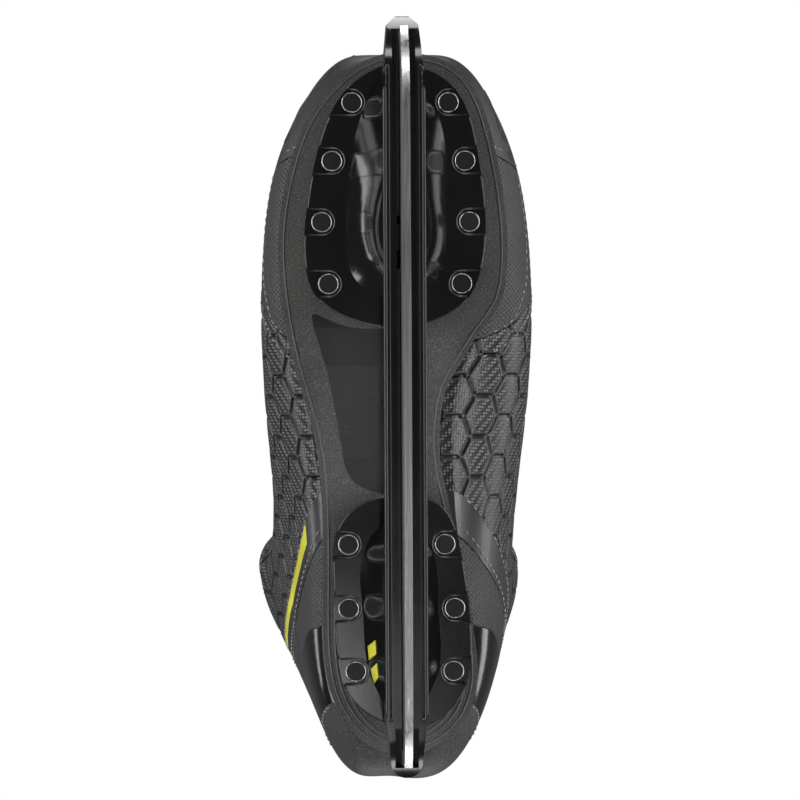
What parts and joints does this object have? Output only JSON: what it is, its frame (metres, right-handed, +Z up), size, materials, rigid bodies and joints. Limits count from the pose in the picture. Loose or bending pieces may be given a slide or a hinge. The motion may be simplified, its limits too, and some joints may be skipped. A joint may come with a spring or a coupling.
{
  "type": "ice hockey skate",
  "caption": "Right-foot ice hockey skate: moulded padded boot on a glossy two-cup blade holder with a quick-release steel runner, hinged tongue and flexing tendon guard.",
  "frame": {"origin": "lowest point of the steel's running edge, where the skate touches the ice", "axes": "+Z up out of the ice, -Y towards the toe, -X towards the outer (lateral) side of the right foot"},
  "size_m": [0.1078, 0.2991, 0.266],
  "materials": {
    "steel": "ground and polished",
    "holder_nylon": "gloss black",
    "rivet_black": "black",
    "washer_metal": "plain",
    "spring_steel": "plain",
    "trigger_plastic": "satin",
    "outsole_composite": "rough",
    "arch_gloss": "smooth",
    "toe_plastic": "matte",
    "vent_dark": "matte",
    "side_mesh": "fine mesh",
    "quarter_carbon": "embossed weave",
    "facing_black": "matte",
    "eyelet_black": "black",
    "band_black": "matte",
    "counter_gloss": "gloss",
    "heel_texture": "textured",
    "accent_yellow": "satin",
    "guard_plastic": "satin",
    "pad_fabric": "brushed",
    "lining_fabric": "knitted",
    "felt": "felt",
    "shield_leather": "matte",
    "board_fibre": "fibre",
    "footbed_foam": "foam with cloth top"
  },
  "bodies": {
    "root": {"blade_holder": "holder_nylon", "front_rivets": "rivet_black", "rear_rivets": "rivet_black", "front_washers": "washer_metal", "rear_washers": "washer_metal", "trigger_pin": "spring_steel", "trigger_spring": "spring_steel", "outsole": "outsole_composite", "arch_plate": "arch_gloss", "insole_board": "board_fibre", "footbed": "footbed_foam", "toe_cap": "toe_plastic", "lateral_toe_vent": "vent_dark", "medial_toe_vent": "vent_dark", "lateral_forefoot_panel": "side_mesh", "medial_forefoot_panel": "side_mesh", "lateral_quarter": "quarter_carbon", "medial_quarter": "quarter_carbon", "lateral_facing": "facing_black", "medial_facing": "facing_black", "lateral_eyelets": "eyelet_black", "medial_eyelets": "eyelet_black", "lateral_heel_band": "band_black", "medial_heel_band": "band_black", "lateral_heel_mesh": "side_mesh", "medial_heel_mesh": "side_mesh", "lateral_counter": "counter_gloss", "medial_counter": "counter_gloss", "heel_cup": "heel_texture", "lateral_accent": "accent_yellow", "backstay": "guard_plastic", "lateral_ankle_pad": "pad_fabric", "medial_ankle_pad": "pad_fabric", "boot_liner": "lining_fabric", "collar_binding": "pad_fabric"},
    "runner": {"runner": "steel"},
    "trigger": {"release_trigger": "trigger_plastic"},
    "tendon_guard": {"tendon_guard": "guard_plastic", "tendon_pad": "pad_fabric"},
    "tongue": {"tongue_shield": "shield_leather", "tongue_felt": "felt", "tongue_lining": "lining_fabric"}
  },
  "joints": [
    {"name": "runner_drop", "type": "hinge", "parent": "root", "child": "runner", "pos_m": [0, 0.118, 0.038], "axis": [1, 0, 0], "range_deg": [0, 3]},
    {"name": "trigger_pull", "type": "hinge", "parent": "root", "child": "trigger", "pos_m": [0, -0.052, 0.047], "axis": [1, 0, 0], "range_deg": [0, 30], "stiffness_Nm_per_rad": 0.08, "springref_deg": -34.38},
    {"name": "tendon_guard_flex", "type": "hinge", "parent": "root", "child": "tendon_guard", "pos_m": [0, 0.137, 0.19], "axis": [-1, 0, 0], "range_deg": [0, 30], "stiffness_Nm_per_rad": 1.5, "springref_deg": -4.58},
    {"name": "tongue_open", "type": "hinge", "parent": "root", "child": "tongue", "pos_m": [0, -0.07, 0.116], "axis": [1, 0, 0], "range_deg": [0, 60]}
  ],
  "couplings": [
    {"joint": "trigger_pull", "follows": "runner_drop", "ratio": 10}
  ]
}
